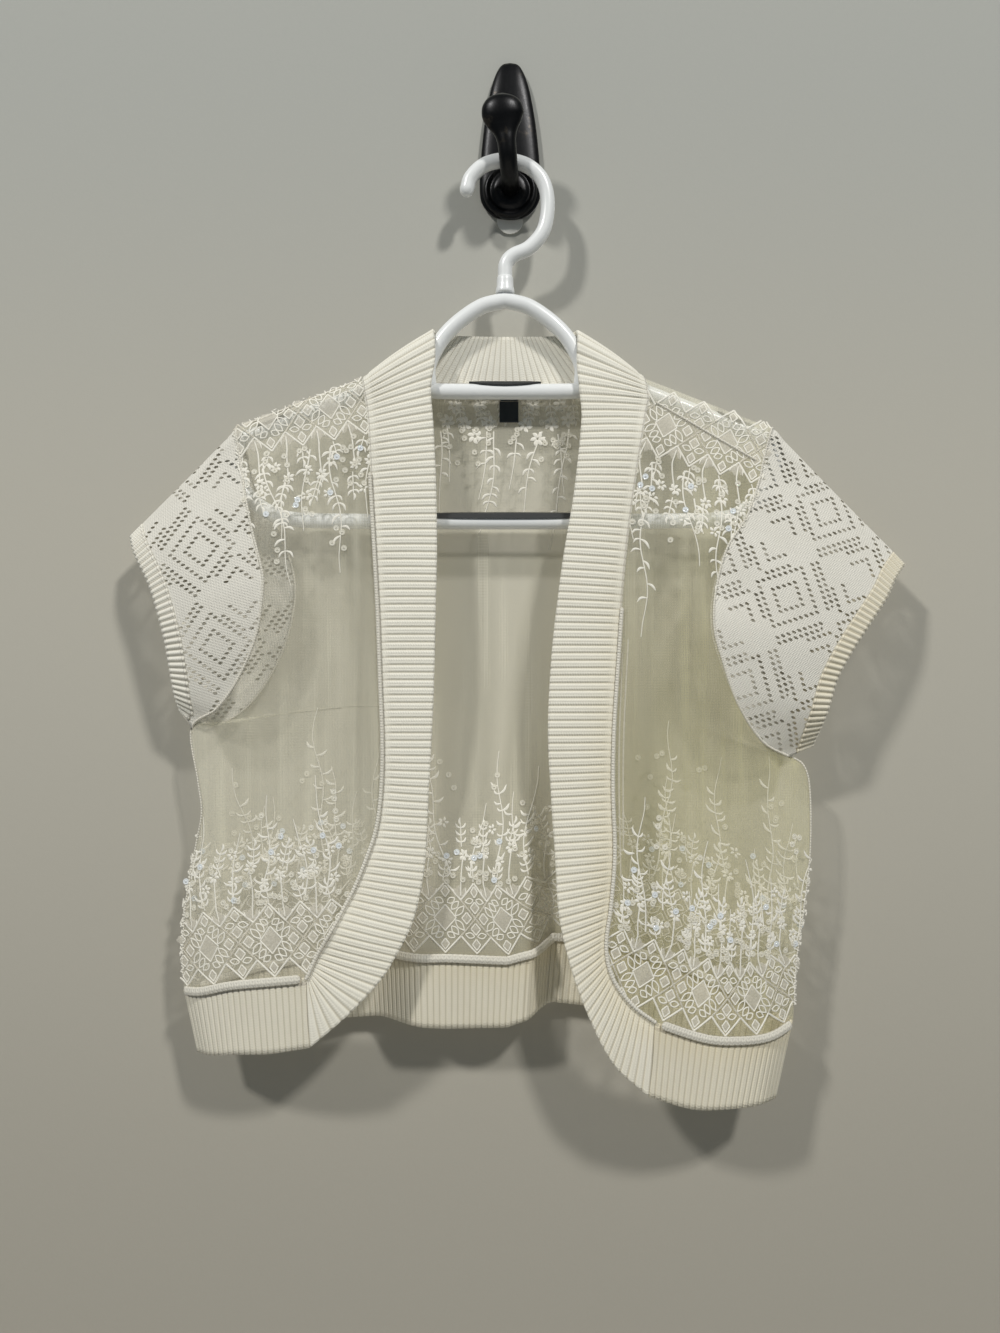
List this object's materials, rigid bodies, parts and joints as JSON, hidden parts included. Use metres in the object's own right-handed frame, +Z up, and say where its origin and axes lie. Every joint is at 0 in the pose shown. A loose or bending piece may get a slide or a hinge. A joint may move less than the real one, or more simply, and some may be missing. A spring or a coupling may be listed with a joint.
{
  "type": "cardigan on a hanger and wall hook",
  "caption": "Sheer short-sleeved open-front cardigan with rib bands and pointelle sleeves, hung on a tubular hanger from an adhesive wall hook.",
  "frame": {"origin": "middle of the wall hook's back face, in the plane of the wall", "axes": "+Y into the wall, -Y towards the viewer; +X to the right as the hung garment is seen; +Z up"},
  "size_m": [0.603, 0.0698, 0.8148],
  "materials": {
    "net": "sheer net with thread embroidery",
    "knit": "matt pointelle knit",
    "rib": "matt rib knit",
    "label": "woven tape",
    "hanger": "smooth white",
    "grip": "dark, satin",
    "wall_hook": "black with rubbed bronze edges",
    "adhesive": "clear strip"
  },
  "bodies": {
    "root": {"back_panel": "net", "front_right": "net", "front_left": "net", "sleeve_right": "knit", "sleeve_left": "knit", "band_right": "rib", "band_left": "rib", "band_neck": "rib", "hem_right": "rib", "hem_left": "rib", "hem_back": "rib", "cuff_right": "rib", "cuff_left": "rib", "rolled_seam_right": "rib", "rolled_seam_left": "rib", "rolled_seam_back": "rib", "rolled_seam_neck": "rib", "neck_label": "label", "size_tab": "label", "hanger_body": "hanger", "hanger_hook": "hanger", "bar_inlay_upper": "grip", "bar_inlay_lower": "grip", "arm_inlay_right": "grip", "arm_inlay_left": "grip", "wall_hook_plate": "wall_hook", "wall_hook_arm": "wall_hook", "adhesive_strip": "adhesive"}
  },
  "joints": []
}
